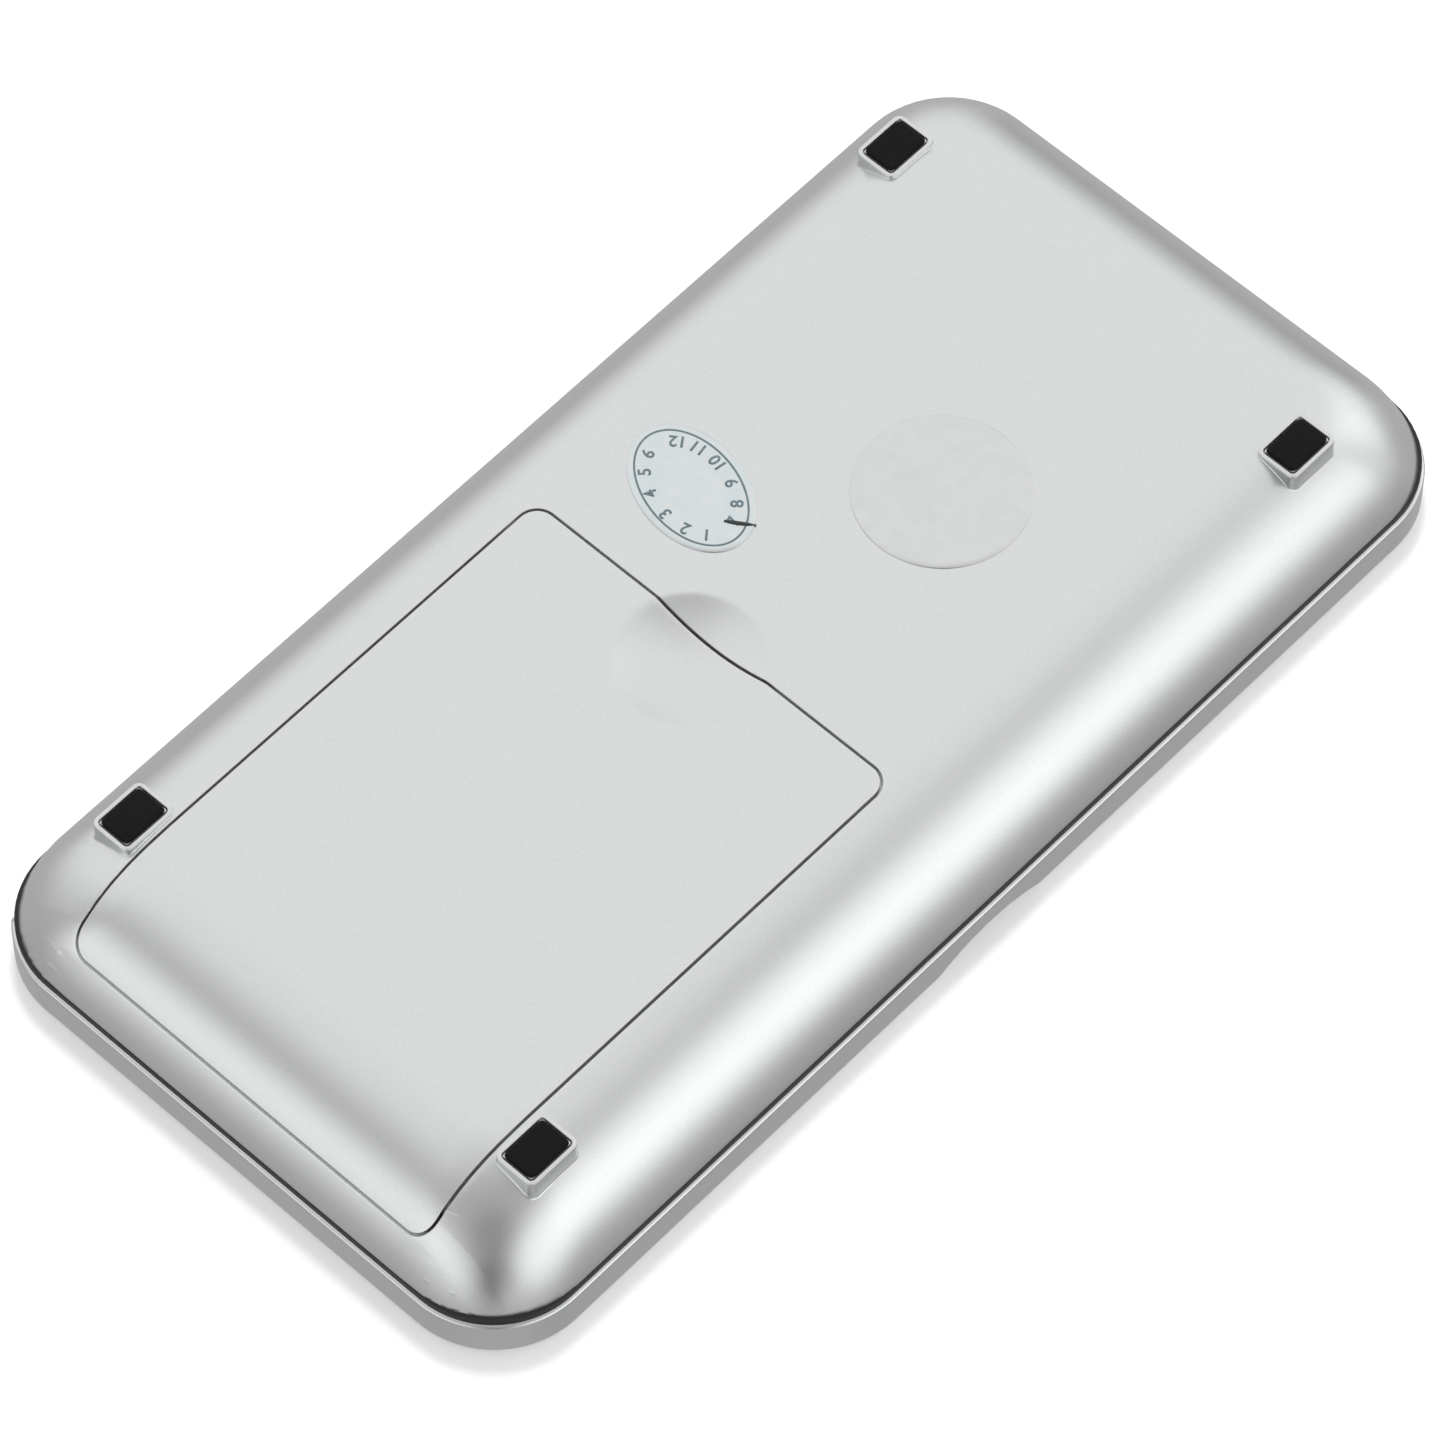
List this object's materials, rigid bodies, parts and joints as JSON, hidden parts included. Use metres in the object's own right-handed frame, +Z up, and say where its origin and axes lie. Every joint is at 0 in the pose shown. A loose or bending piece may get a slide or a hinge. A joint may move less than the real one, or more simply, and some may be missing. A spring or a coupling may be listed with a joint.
{
  "type": "pocket scale",
  "caption": "Flat silver pocket scale with a flip-open lid over a steel platform, a display and push keys, a swing-down battery door and rubber feet.",
  "frame": {"origin": "middle of the footprint, on the plane that the rubber feet stand on", "axes": "+Z up with the scale standing on its feet, +X towards the battery and display end, -Y towards the front edge with the thumb notch, +Y towards the hinge"},
  "size_m": [0.13, 0.066, 0.0158],
  "materials": {
    "silver_case": "satin silver-coloured moulding",
    "black_abs": "fine-textured black moulding",
    "pin_steel": "drawn and plated pin",
    "foot_rubber": "matt black rubber",
    "screw_steel": "zinc-plated",
    "cell_jacket": "shrink sleeve",
    "contact_metal": "nickel-plated strip",
    "spring_steel": "nickel-plated wire",
    "stainless": "brushed",
    "carrier_plastic": "plain moulding",
    "beam_aluminium": "milled",
    "gauge_film": "film",
    "lead_insulation": "insulated wire",
    "board_laminate": "solder-masked laminate",
    "chip_epoxy": "epoxy drop",
    "crystal_can": "drawn can",
    "light_guide": "clear moulding",
    "display_glass": "liquid-crystal cell",
    "zebra_rubber": "striped silicone",
    "window_clear": "clear acrylic",
    "face_print": "back-printed sheet",
    "flex_film": "flexible circuit",
    "key_plastic": "moulded cap",
    "plunger_plastic": "moulded",
    "switch_plastic": "moulded",
    "date_paper": "printed film label",
    "clear_film": "clear seal"
  },
  "bodies": {
    "base": {"bottom_shell": "silver_case", "deck": "black_abs", "hinge_pin_left": "pin_steel", "hinge_pin_right": "pin_steel", "foot_pad_front_left": "foot_rubber", "foot_pad_rear_left": "foot_rubber", "foot_pad_front_right": "foot_rubber", "foot_pad_rear_right": "foot_rubber", "case_screw_front_left": "screw_steel", "case_screw_rear_left": "screw_steel", "case_screw_front_right": "screw_steel", "case_screw_rear_right": "screw_steel", "cell_front": "cell_jacket", "cell_rear": "cell_jacket", "plus_plate_front": "contact_metal", "plus_plate_rear": "contact_metal", "minus_plate_front": "contact_metal", "minus_plate_rear": "contact_metal", "cell_spring_front": "spring_steel", "cell_spring_rear": "spring_steel", "load_cell": "beam_aluminium", "strain_gauges": "gauge_film", "load_cell_screws": "screw_steel", "overload_screw": "screw_steel", "load_cell_lead": "lead_insulation", "main_board": "board_laminate", "chip_cover": "chip_epoxy", "crystal": "crystal_can", "lcd_backlight": "light_guide", "lcd_glass": "display_glass", "lcd_connector": "zebra_rubber", "display_window": "window_clear", "face_plate": "face_print", "key_board": "board_laminate", "key_ribbon": "flex_film", "switch_power": "switch_plastic", "switch_tare": "switch_plastic", "switch_mode": "switch_plastic", "switch_count": "switch_plastic", "switch_light": "switch_plastic", "date_label": "date_paper", "round_label": "clear_film"},
    "lid": {"lid": "silver_case"},
    "battery_door": {"battery_door": "silver_case"},
    "platform": {"weighing_platform": "stainless", "platform_carrier": "carrier_plastic", "carrier_screws": "screw_steel"},
    "key_power": {"key_power": "key_plastic", "plunger_power": "plunger_plastic"},
    "key_tare": {"key_tare": "key_plastic", "plunger_tare": "plunger_plastic"},
    "key_mode": {"key_mode": "key_plastic", "plunger_mode": "plunger_plastic"},
    "key_count": {"key_count": "key_plastic", "plunger_count": "plunger_plastic"},
    "key_light": {"key_light": "key_plastic", "plunger_light": "plunger_plastic"}
  },
  "joints": [
    {"name": "lid_hinge", "type": "hinge", "parent": "base", "child": "lid", "pos_m": [0, 0.031, 0.0109], "axis": [-1, 0, 0], "range_deg": [0, 100]},
    {"name": "door_swing", "type": "hinge", "parent": "base", "child": "battery_door", "pos_m": [0.06243, 0, 0.0059], "axis": [0, -1, 0], "range_deg": [0, 80]},
    {"name": "platform_sink", "type": "slide", "parent": "base", "child": "platform", "axis": [0, 0, -1], "range_m": [0, 0.0003], "stiffness_N_per_m": 16000, "deforming": ["load_cell", "strain_gauges"]},
    {"name": "power_press", "type": "slide", "parent": "base", "child": "key_power", "axis": [0, 0, -1], "range_m": [0, 0.0003], "stiffness_N_per_m": 2500},
    {"name": "tare_press", "type": "slide", "parent": "base", "child": "key_tare", "axis": [0, 0, -1], "range_m": [0, 0.0003], "stiffness_N_per_m": 2500},
    {"name": "mode_press", "type": "slide", "parent": "base", "child": "key_mode", "axis": [0, 0, -1], "range_m": [0, 0.0003], "stiffness_N_per_m": 2500},
    {"name": "count_press", "type": "slide", "parent": "base", "child": "key_count", "axis": [0, 0, -1], "range_m": [0, 0.0003], "stiffness_N_per_m": 2500},
    {"name": "light_press", "type": "slide", "parent": "base", "child": "key_light", "axis": [0, 0, -1], "range_m": [0, 0.0003], "stiffness_N_per_m": 2500}
  ]
}
